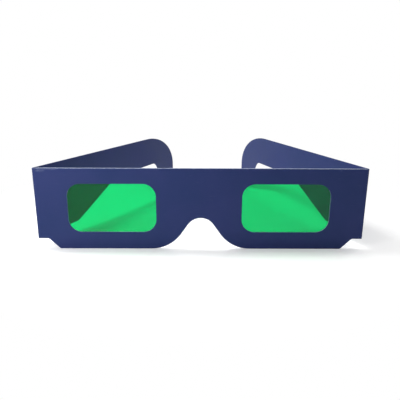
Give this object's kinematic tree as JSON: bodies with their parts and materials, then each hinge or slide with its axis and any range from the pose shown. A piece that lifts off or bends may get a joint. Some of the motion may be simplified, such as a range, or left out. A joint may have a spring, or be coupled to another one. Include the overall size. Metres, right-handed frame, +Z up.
{
  "type": "3d glasses",
  "caption": "Folding card glasses for viewing 3D images: a wide two-ply front with green film windows and a nose arch, and temples with ear hooks that fold on creases.",
  "frame": {"origin": "on the ground, under the middle of the resting glasses' box", "axes": "+X to the right as seen from the front, +Y from the front towards the ear hooks, +Z up; the front faces -Y"},
  "size_m": [0.15, 0.1262, 0.038],
  "materials": {
    "printed_card": "satin printed card with pale cut edges",
    "green_film": "clear tinted gel film",
    "film_tape": "thin double-sided tape",
    "card_glue": "dried white glue"
  },
  "bodies": {
    "front": {"front_card": "printed_card", "backing_card": "printed_card", "glue_bed": "card_glue", "left_film": "green_film", "right_film": "green_film", "left_upper_tape": "film_tape", "left_lower_tape": "film_tape", "right_upper_tape": "film_tape", "right_lower_tape": "film_tape", "left_crease": "printed_card", "right_crease": "printed_card"},
    "left_temple": {"left_temple": "printed_card"},
    "right_temple": {"right_temple": "printed_card"}
  },
  "joints": [
    {"name": "left_fold", "type": "hinge", "parent": "front", "child": "left_temple", "pos_m": [-0.0742, -0.06231, 0.0215], "axis": [0, 0, -1], "range_deg": [-114.7, 65.3], "deforming": ["left_crease"]},
    {"name": "right_fold", "type": "hinge", "parent": "front", "child": "right_temple", "pos_m": [0.0742, -0.06231, 0.0215], "axis": [0, 0, 1], "range_deg": [-109.3, 67.7], "deforming": ["right_crease"]}
  ]
}
